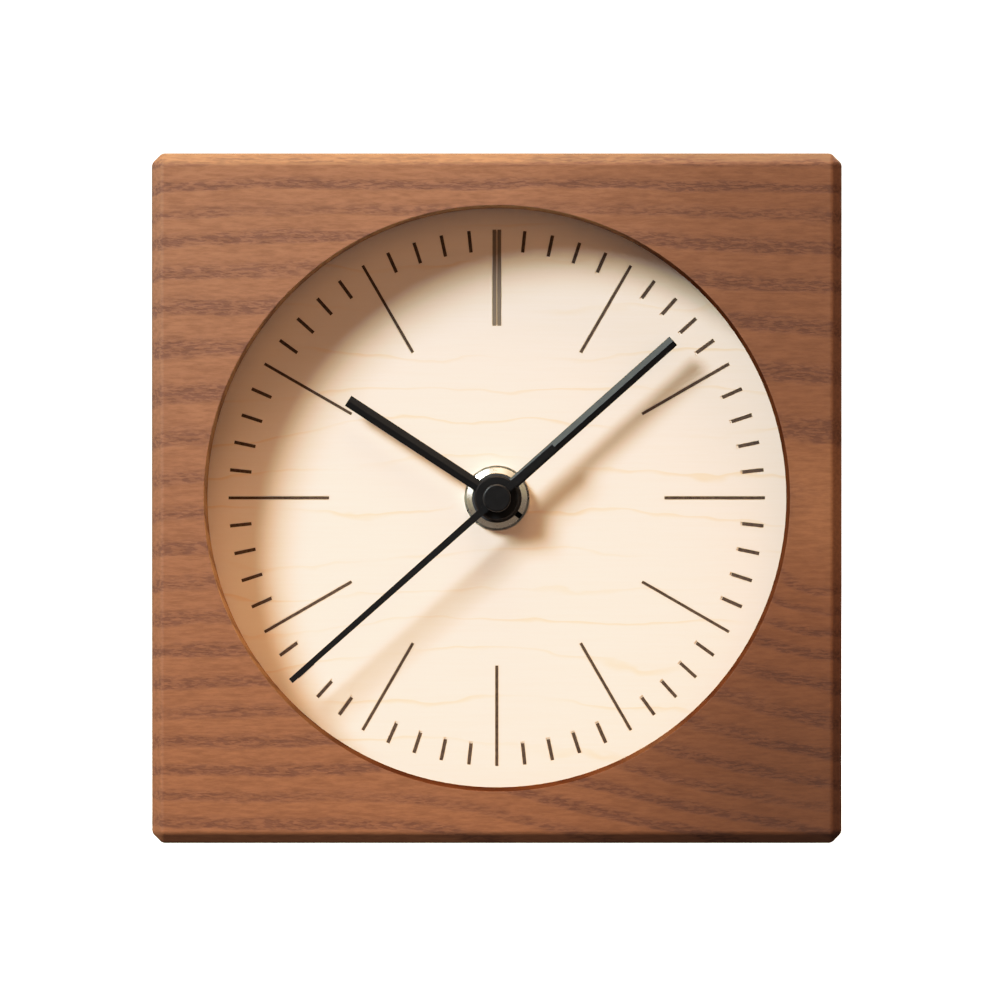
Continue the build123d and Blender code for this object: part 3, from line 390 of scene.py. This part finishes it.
def marks_tree():
    tree = bpy.data.node_groups.new("round_marks", "GeometryNodeTree")
    kinds = {"Count": "Int", "Cycle": "Int", "First": "Int", "Last": "Int", "Length": "Float",
             "Width": "Float", "Thickness": "Float", "Outer radius": "Float", "Sideways": "Float",
             "Middle": "Vector", "Burn": "Material"}
    for name, kind in kinds.items():
        tree.interface.new_socket(name, in_out="INPUT", socket_type="NodeSocket" + kind)
    tree.interface.new_socket("Marks", in_out="OUTPUT", socket_type="NodeSocketGeometry")
    sizes = wire(tree, "NodeGroupInput", {}).outputs
    number = wire(tree, "GeometryNodeInputIndex", {}).outputs[0]
    turn = sums(tree, "MULTIPLY", sums(tree, "DIVIDE", number, sizes["Count"]), 2 * math.pi)
    place = sums(tree, "MODULO", number, sizes["Cycle"])
    from_first = {0: place, 1: sizes["First"]}
    to_last = {0: place, 1: sizes["Last"]}
    early = wire(tree, "FunctionNodeCompare", from_first, operation="GREATER_EQUAL").outputs[0]
    late = wire(tree, "FunctionNodeCompare", to_last, operation="LESS_EQUAL").outputs[0]
    kept = wire(tree, "FunctionNodeBooleanMath", {0: early, 1: late}, operation="AND").outputs[0]
    lengths = {0: sizes["Width"], 1: sizes["Thickness"], 2: sizes["Length"]}
    box = wire(tree, "ShaderNodeCombineXYZ", lengths).outputs[0]
    half_length = sums(tree, "MULTIPLY", sizes["Length"], 0.5)
    reach = sums(tree, "SUBTRACT", sizes["Outer radius"], half_length)
    inwards = sums(tree, "MULTIPLY", sizes["Thickness"], 0.5)
    spot = wire(tree, "ShaderNodeCombineXYZ", {0: sizes["Sideways"], 1: inwards, 2: reach}).outputs[0]
    strip = wire(tree, "GeometryNodeMeshCube", {"Size": box}).outputs["Mesh"]
    placed = wire(tree, "GeometryNodeTransform", {"Geometry": strip, "Translation": spot}).outputs[0]
    centres = {"Count": sizes["Count"], "Position": sizes["Middle"]}
    points = wire(tree, "GeometryNodePoints", centres).outputs[0]
    lean = wire(tree, "ShaderNodeCombineXYZ", {0: 0.0, 1: turn, 2: 0.0}).outputs[0]
    copies = wire(tree, "GeometryNodeInstanceOnPoints",
                  {"Points": points, "Selection": kept, "Instance": placed, "Rotation": lean}).outputs[0]
    solid = wire(tree, "GeometryNodeRealizeInstances", {"Geometry": copies}).outputs[0]
    burnt = wire(tree, "GeometryNodeSetMaterial", {"Geometry": solid, "Material": sizes["Burn"]}).outputs[0]
    wire(tree, "NodeGroupOutput", {"Marks": burnt})
    return tree


round_marks = marks_tree()
strip_offset = (TOP_BAR_STRIP["Width"] + TOP_BAR_LINE) / 2
common = {"Thickness": MARK_DEPTH - MARK_SUNK, "Outer radius": MARK_OUTER_RADIUS, "Burn": burnt_wood(),
          "Middle": dial_middle + Vector((0, MARK_SUNK, 0))}
mark_sets = [
    {**MINUTE_MARK, "Sideways": 0.0},
    {**HOUR_MARK, "Sideways": 0.0},
    {**TOP_BAR_STRIP, "Sideways": -strip_offset},
    {**TOP_BAR_STRIP, "Sideways": strip_offset},
]
marks_mesh = bmesh.new()
for mark_set in mark_sets:
    carrier = bpy.data.objects.new("marks_carrier", bpy.data.meshes.new("marks_carrier"))
    bpy.context.scene.collection.objects.link(carrier)
    pattern = carrier.modifiers.new("round_marks", "NODES")
    pattern.node_group = round_marks
    values = {**mark_set, **common, "Width": mark_set["Width"] - 2 * GROOVE_GAP}
    for socket in round_marks.interface.items_tree:
        if socket.in_out == "INPUT":
            pattern[socket.identifier] = values[socket.name]
    depsgraph = bpy.context.evaluated_depsgraph_get()
    made = bpy.data.meshes.new_from_object(carrier.evaluated_get(depsgraph))
    marks_mesh.from_mesh(made)
    carrier.modifiers.remove(pattern)
    bpy.data.objects.remove(carrier)
dial_marks = mesh_from(marks_mesh, "dial_marks")
dial_marks.data.materials.append(common["Burn"])
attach(dial_marks, "clock")


# Movement: a moulded black case with a clip-on cover and a finely eroded surface, held behind the dial by
# its threaded stem. The setting knob on its back is the same plastic, and a rubber ring seats the case.
def moulded(name, colour, shade, rough, grain, depth):
    finish, tree, shader = new_finish(name)
    specks = cloudy(tree, (grain, grain, grain), 2.0, 0.6)
    smears = cloudy(tree, (0.09, 0.07, 0.08), 2.0)
    share = sums(tree, "ADD", sums(tree, "MULTIPLY", specks, 0.5), sums(tree, "MULTIPLY", smears, 0.5))
    paler = [level * (1 + shade) for level in colour] + [1]
    darker = [level * (1 - shade) for level in colour] + [1]
    tree.links.new(blend(tree, step_up(tree, share, 0.3, 0.7), darker, paler), shader.inputs["Base Color"])
    tree.links.new(step_up(tree, share, 0.3, 0.7, rough - 0.07, rough + 0.07), shader.inputs["Roughness"])
    tree.links.new(relief(tree, specks, depth, 0.6), shader.inputs["Normal"])
    return finish


black_plastic = moulded("black_plastic", colour=(0.022, 0.022, 0.024), shade=0.3, rough=0.52,
                        grain=3.5, depth=0.00003)
rubber = moulded("rubber", colour=(0.028, 0.027, 0.026), shade=0.2, rough=0.8, grain=2.2, depth=0.00002)
dress(black_plastic, "movement_case", "movement_cover", "setting_knob")
dress(rubber, "stem_gasket")

# Wheels and bridge: natural white acetal, moulded, on short pivots in the case and the bridge.
# The coil's former is the same plastic.
white_wheels = moulded("white_wheels", colour=(0.80, 0.79, 0.73), shade=0.06, rough=0.42,
                       grain=1.4, depth=0.00001)
dress(white_wheels, "second_wheel", "centre_wheel", "hour_wheel", "third_wheel", "idler_wheel", "motion_wheel",
      "rotor_pinion", "setting_pinion", "train_bridge", "coil_bobbin")


# Metal pieces: stamped steel for the motor, contacts and screws, turned brass for the minute pipe,
# and dark sintered metal for the rotor's magnet.
def metal(name, colour, rough, stretch, depth):
    finish = moulded(name, colour, shade=0.10, rough=rough, grain=1.0, depth=depth)
    tree, shader = finish.node_tree, finish.node_tree.nodes["Principled BSDF"]
    drawn = cloudy(tree, stretch, 3.0, 0.7)
    tree.links.new(step_up(tree, drawn, 0.25, 0.75, rough - 0.10, rough + 0.12), shader.inputs["Roughness"])
    shader.inputs["Metallic"].default_value = 1.0
    return finish


steel = metal("steel", colour=(0.60, 0.60, 0.61), rough=0.32, stretch=(0.15, 3.0, 3.0), depth=0.00001)
brass = metal("brass", colour=(0.72, 0.52, 0.22), rough=0.28, stretch=(2.0, 6.0, 2.0), depth=0.00001)
magnet = metal("magnet", colour=(0.13, 0.13, 0.14), rough=0.55, stretch=(2.0, 2.0, 2.0), depth=0.00003)
dress(steel, "second_arbor", "bridge_screws", "stator_screws", "stator", "coil_core", "quartz_crystal",
      "positive_contact", "negative_contact")
dress(brass, "cannon_pinion")
dress(magnet, "rotor_magnet")

# Coil: hundreds of turns of enamelled copper wire on the former, seen as fine close rings.
# The board beside it is brown phenolic sheet with tinned tracks, and the chip is a drop of black resin.
WIRE_PITCH = 0.16
COPPER_DARK = (0.56, 0.22, 0.09, 1)
COPPER_PALE = (0.68, 0.31, 0.14, 1)
COPPER_GROOVE_PAINTED_SHADE = (0.25, 0.16, 0.12, 1)
PAPER_DARK = (0.34, 0.215, 0.085, 1)
PAPER_PALE = (0.42, 0.28, 0.13, 1)
TINNED_TRACK = (0.62, 0.60, 0.55, 1)


def copper_winding():
    finish, tree, shader = new_finish("copper")
    x, y, z = places(tree)
    turns = sums(tree, "SINE", sums(tree, "MULTIPLY", x, 2 * math.pi / WIRE_PITCH))
    tint = cloudy(tree, (0.8, 0.5, 0.5), 2.0)
    body = blend(tree, step_up(tree, tint, 0.3, 0.7), COPPER_DARK, COPPER_PALE)
    # Painted shade darkens the grooves between the turns
    body = blend(tree, step_up(tree, turns, -1.0, 0.2, 0.7, 0.0), body, COPPER_GROOVE_PAINTED_SHADE, "MULTIPLY")
    tree.links.new(body, shader.inputs["Base Color"])
    tree.links.new(step_up(tree, tint, 0.2, 0.8, 0.22, 0.36), shader.inputs["Roughness"])
    tree.links.new(relief(tree, turns, 0.00004, 0.8), shader.inputs["Normal"])
    shader.inputs["Metallic"].default_value = 0.9
    return finish


def phenolic_board():
    finish, tree, shader = new_finish("board")
    steps = sums(tree, "MULTIPLY", cloudy(tree, (0.25, 0.25, 0.25), 0.0), 9.0)
    track = step_up(tree, sums(tree, "PINGPONG", steps, 0.5), 0.30, 0.36)
    paper = cloudy(tree, (1.5, 1.5, 5.0), 3.0, 0.6)
    body = blend(tree, step_up(tree, paper, 0.3, 0.7), PAPER_DARK, PAPER_PALE)
    body = blend(tree, track, body, TINNED_TRACK)
    tree.links.new(body, shader.inputs["Base Color"])
    tree.links.new(step_up(tree, track, 0.0, 1.0, 0.55, 0.30), shader.inputs["Roughness"])
    tree.links.new(relief(tree, track, 0.00004, 0.6), shader.inputs["Normal"])
    return finish


chip_resin = moulded("chip", colour=(0.014, 0.014, 0.015), shade=0.3, rough=0.18, grain=0.9, depth=0.00002)
dress(copper_winding(), "coil_winding")
dress(phenolic_board(), "circuit_board")
dress(chip_resin, "driver_chip")

# Cell: an AA cell in a plain two-tone jacket with bright steel ends, lying in the open bay below the works.
# The nub is at the right, against the straight contact.
FLAT_END = 0.8
NUB_END = 1.9
JACKET_BAND = 13.95
JACKET_EDGE = 0.05
JACKET_DARK = (0.030, 0.034, 0.042, 1)
JACKET_COPPER = (0.47, 0.24, 0.11, 1)
SCUFF_TINT = (0.70, 0.70, 0.70, 1)
CELL_STEEL = (0.62, 0.62, 0.62, 1)


def cell_jacket():
    finish, tree, shader = new_finish("cell_jacket")
    cell_low, cell_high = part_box("cell")
    flat_end = 1000 * cell_low.x + FLAT_END
    nub_end = 1000 * cell_high.x - NUB_END
    band_start = 1000 * cell_high.x - JACKET_BAND
    x, y, z = places(tree)
    left_end = step_up(tree, x, flat_end - JACKET_EDGE, flat_end + JACKET_EDGE, 1.0, 0.0)
    right_end = step_up(tree, x, nub_end - JACKET_EDGE, nub_end + JACKET_EDGE)
    steel_ends = sums(tree, "ADD", left_end, right_end)
    band = step_up(tree, x, band_start - JACKET_EDGE, band_start + JACKET_EDGE)
    scuffs = cloudy(tree, (0.5, 0.5, 0.5), 4.0, 0.6)
    body = blend(tree, band, JACKET_DARK, JACKET_COPPER)
    body = blend(tree, step_up(tree, scuffs, 0.35, 0.7, 0.0, 0.30), body, SCUFF_TINT, "MULTIPLY")
    body = blend(tree, steel_ends, body, CELL_STEEL)
    foil = sums(tree, "MAXIMUM", steel_ends, sums(tree, "MULTIPLY", band, 0.7))
    tree.links.new(body, shader.inputs["Base Color"])
    tree.links.new(foil, shader.inputs["Metallic"])
    tree.links.new(step_up(tree, scuffs, 0.3, 0.7, 0.22, 0.36), shader.inputs["Roughness"])
    tree.links.new(relief(tree, scuffs, 0.00002, 0.25), shader.inputs["Normal"])
    return finish


dress(cell_jacket(), "cell")

# Washer and ring nut: nickel-plated brass, turned, clamping the dial on the stem. The nut has a slot
# across its face for the tool, and the turning leaves fine rings round the axis.
NUT_WIDTH = 0.0096
SLOT_WIDTH = 0.0009
SLOT_TURN = math.radians(-38)
SLOT_ASIDE = (-math.sin(SLOT_TURN), 0.0, math.cos(SLOT_TURN))
TURNING_PITCH = 0.45
NICKEL_DARK = (0.74, 0.69, 0.60, 1)
NICKEL_PALE = (0.80, 0.76, 0.68, 1)
# Painted shade for the tool slot
SLOT_PAINTED_SHADE = (0.012, 0.010, 0.009, 1)


def turned_nickel():
    finish, tree, shader = new_finish("nickel")
    from_axis = {0: millimetres(tree), 1: 1000 * dial_middle}
    offset = wire(tree, "ShaderNodeVectorMath", from_axis, operation="SUBTRACT").outputs[0]
    flat = wire(tree, "ShaderNodeVectorMath", {0: offset, 1: (1, 0, 1)}, operation="MULTIPLY").outputs[0]
    radius = wire(tree, "ShaderNodeVectorMath", {0: flat}, operation="LENGTH").outputs["Value"]
    rings = sums(tree, "SINE", sums(tree, "MULTIPLY", radius, 2 * math.pi / TURNING_PITCH))
    tint = cloudy(tree, (0.7, 0.7, 0.7), 2.0)
    body = blend(tree, step_up(tree, tint, 0.3, 0.7), NICKEL_DARK, NICKEL_PALE)
    # Painted shade keeps the tool slot black
    slot_half = 500 * SLOT_WIDTH
    nut_radius = 500 * NUT_WIDTH
    across_slot = {0: flat, 1: SLOT_ASIDE}
    over = wire(tree, "ShaderNodeVectorMath", across_slot, operation="DOT_PRODUCT").outputs["Value"]
    inside = step_up(tree, sums(tree, "ABSOLUTE", over), slot_half - 0.04, slot_half, 1.0, 0.0)
    on_nut = step_up(tree, radius, nut_radius, nut_radius + 0.05, 1.0, 0.0)
    body = blend(tree, sums(tree, "MULTIPLY", inside, on_nut), body, SLOT_PAINTED_SHADE)
    tree.links.new(body, shader.inputs["Base Color"])
    worn = sums(tree, "ADD", tint, sums(tree, "MULTIPLY", rings, 0.05))
    tree.links.new(step_up(tree, worn, 0.2, 0.8, 0.24, 0.34), shader.inputs["Roughness"])
    shader.inputs["Metallic"].default_value = 1.0
    return finish


dress(turned_nickel(), "nut_washer", "ring_nut")

# Hands: pressed from thin aluminium with a ridge along the middle, and lacquered satin black.
# Each is pushed on its own pipe; the second hand has a short tail, and a cap closes its arbor.
LACQUER = (0.003, 0.003, 0.0035, 1)
LACQUER_DUST = (0.006, 0.006, 0.0065, 1)


def black_lacquer():
    finish, tree, shader = new_finish("black_hands")
    peel = cloudy(tree, (1.1, 1.1, 1.1), 2.0)
    dust = cloudy(tree, (5.0, 5.0, 5.0), 2.0, 0.6)
    body = blend(tree, step_up(tree, dust, 0.4, 0.8), LACQUER, LACQUER_DUST)
    tree.links.new(body, shader.inputs["Base Color"])
    tree.links.new(step_up(tree, peel, 0.3, 0.7, 0.37, 0.42), shader.inputs["Roughness"])
    tree.links.new(relief(tree, dust, 0.000002, 0.15), shader.inputs["Normal"])
    shader.inputs["Specular IOR Level"].default_value = 0.27
    return finish


dress(black_lacquer(), "hour_hand", "minute_hand", "second_hand", "second_cap")

# Studio: a white floor and backdrop in one glowing sweep, which lights nothing, so the lower edges stay dark.
# A round key light stands high at the left, with two lamps above, a weak warm fill in front and one behind.
# The room's walls glow faintly on the clock, show brighter in its gloss and are white to the camera.
SWEEP_HALF = 3.0
SWEEP_FRONT = -2.5
SWEEP_BEND = 2.2
SWEEP_RADIUS = 0.8
SWEEP_TOP = 3.0
BEND_STEPS = 12
PAPER_GLOW = 1.5
sweep_line = [(SWEEP_FRONT, 0.0)]
for step in range(BEND_STEPS + 1):
    angle = math.radians(90 * step / BEND_STEPS)
    sweep_line.append((SWEEP_BEND + SWEEP_RADIUS * math.sin(angle), SWEEP_RADIUS * (1 - math.cos(angle))))
sweep_line.append((SWEEP_BEND + SWEEP_RADIUS, SWEEP_TOP))
sweep_mesh = bmesh.new()
sweep_rows = [[sweep_mesh.verts.new((side * SWEEP_HALF, y, z)) for side in (-1, 1)] for y, z in sweep_line]
for row, following in zip(sweep_rows, sweep_rows[1:]):
    sweep_mesh.faces.new((row[0], row[1], following[1], following[0])).smooth = True
sweep = mesh_from(sweep_mesh, "sweep")
paper, paper_tree, paper_shader = new_finish("white_paper")
paper_shader.inputs["Base Color"].default_value = (0.80, 0.80, 0.79, 1)
paper_shader.inputs["Roughness"].default_value = 0.95
paper_shader.inputs["Emission Color"].default_value = (1, 1, 1, 1)
paper_shader.inputs["Emission Strength"].default_value = PAPER_GLOW
sweep.data.materials.append(paper)
sweep.visible_diffuse = False
sweep.visible_glossy = False

STUDIO_LIGHTS = {
    "key": {"from": (-0.86, -1.0, 0.76), "away": 1.8, "size": 0.60, "watts": (45.3, 50.7, 52.2)},
    "top": {"from": (0.10, -0.36, 0.90), "away": 0.9, "size": 0.60, "watts": (8.0, 5.0, 2.9)},
    "overhead": {"from": (-0.10, 0.05, 0.90), "away": 0.9, "size": 0.60, "watts": (7.6, 8.2, 6.2)},
    "fill": {"from": (0.08, -1.0, 0.05), "away": 1.6, "size": 1.20, "watts": (6.7, 3.2, 1.1)},
    "back": {"from": (0.60, 1.0, 0.50), "away": 1.8, "size": 0.80, "watts": (30.0, 29.0, 27.0)},
}
UNMIRRORED = ("fill",)
for name, light in STUDIO_LIGHTS.items():
    lamp = bpy.data.lights.new(name, "AREA")
    lamp.shape = "DISK"
    lamp.size = light["size"]
    lamp.energy = max(light["watts"])
    lamp.color = [level / lamp.energy for level in light["watts"]]
    fitting = bpy.data.objects.new(name, lamp)
    towards = Vector(light["from"]).normalized()
    fitting.location = dial_middle + towards * light["away"]
    fitting.rotation_euler = (-towards).to_track_quat("-Z", "Y").to_euler()
    fitting.visible_glossy = name not in UNMIRRORED
    bpy.context.scene.collection.objects.link(fitting)

GLOW_LOW = (0.062, 0.088, 0.115, 1)
GLOW_HIGH = (0.30, 0.19, 0.12, 1)
MIRRORED_LOW = (0.24, 0.19, 0.15, 1)
MIRRORED_HIGH = (0.85, 0.76, 0.62, 1)
MIRRORED_FRONT = (0.03, 0.03, 0.03, 1)
room = bpy.data.worlds.new("room")
room.use_nodes = True
room_tree = room.node_tree
outwards = wire(room_tree, "ShaderNodeTexCoord", {}).outputs["Generated"]
sky = wire(room_tree, "ShaderNodeSeparateXYZ", {0: outwards}).outputs
height = step_up(room_tree, sky["Z"], -0.3, 0.8)
glow = blend(room_tree, height, GLOW_LOW, GLOW_HIGH)
mirrored = blend(room_tree, height, MIRRORED_LOW, MIRRORED_HIGH)
mirrored = blend(room_tree, step_up(room_tree, sky["Y"], -0.98, -0.72), MIRRORED_FRONT, mirrored)
rays = wire(room_tree, "ShaderNodeLightPath", {}).outputs
walls = blend(room_tree, rays["Is Glossy Ray"], glow, mirrored)
walls = blend(room_tree, rays["Is Camera Ray"], walls, (PAPER_GLOW, PAPER_GLOW, PAPER_GLOW, 1))
room_tree.links.new(walls, room_tree.nodes["Background"].inputs["Color"])
bpy.context.scene.world = room

# Tone: the look of a bright product photograph. Highlights roll off softly, and half shadows on pale wood
# turn golden, because the blue and green dyes lag behind the red.
FILM_WHITE = 1.45
FILM_SHOULDER = [(0.45, 0.45), (0.75, 0.69), (0.97, 0.83), (1.23, 0.97)]
RED_DYE = [(0.42, 0.42), (0.57, 0.62), (0.76, 0.80), (0.97, 0.973)]
GREEN_DYE = [(0.18, 0.18), (0.30, 0.282), (0.42, 0.408), (0.56, 0.56)]
BLUE_DYE = [(0.08, 0.08), (0.15, 0.125), (0.24, 0.200), (0.35, 0.310), (0.54, 0.535)]
all_dyes = [(seen / FILM_WHITE, shown) for seen, shown in FILM_SHOULDER]
view = bpy.context.scene.view_settings
view.view_transform = "Standard"
view.use_curve_mapping = True
view.curve_mapping.white_level = (FILM_WHITE, FILM_WHITE, FILM_WHITE)
for curve, tones in zip(view.curve_mapping.curves, (RED_DYE, GREEN_DYE, BLUE_DYE, all_dyes)):
    for seen, shown in tones:
        curve.points.new(seen, shown)
    for point in curve.points:
        point.handle_type = "VECTOR"
view.curve_mapping.update()

# Camera: a long lens straight before the clock and a hair above its middle.
# The block's face has the same width and place in the picture as in the photograph.
CAMERA_DISTANCE = 1.15
CAMERA_ABOVE = math.radians(0.3)
SENSOR_WIDTH = 36.0
PICTURE_PIXELS = 1000
BLOCK_PIXELS = 691
FACE_PIXEL = (496.8, 498.3)
pixel = 2 * block_half / BLOCK_PIXELS
aim_right = (PICTURE_PIXELS / 2 - FACE_PIXEL[0]) * pixel
aim_up = (FACE_PIXEL[1] - PICTURE_PIXELS / 2) * pixel
aim = Vector((aim_right, front, middle_height + aim_up))
camera_data = bpy.data.cameras.new("camera")
camera_data.sensor_width = SENSOR_WIDTH
camera_data.lens = SENSOR_WIDTH * CAMERA_DISTANCE / (PICTURE_PIXELS * pixel)
camera = bpy.data.objects.new("camera", camera_data)
sight = Vector((0.0, -math.cos(CAMERA_ABOVE), math.sin(CAMERA_ABOVE)))
camera.location = aim + sight * CAMERA_DISTANCE
camera.rotation_euler = (-sight).to_track_quat("-Z", "Y").to_euler()
bpy.context.scene.collection.objects.link(camera)
bpy.context.scene.camera = camera
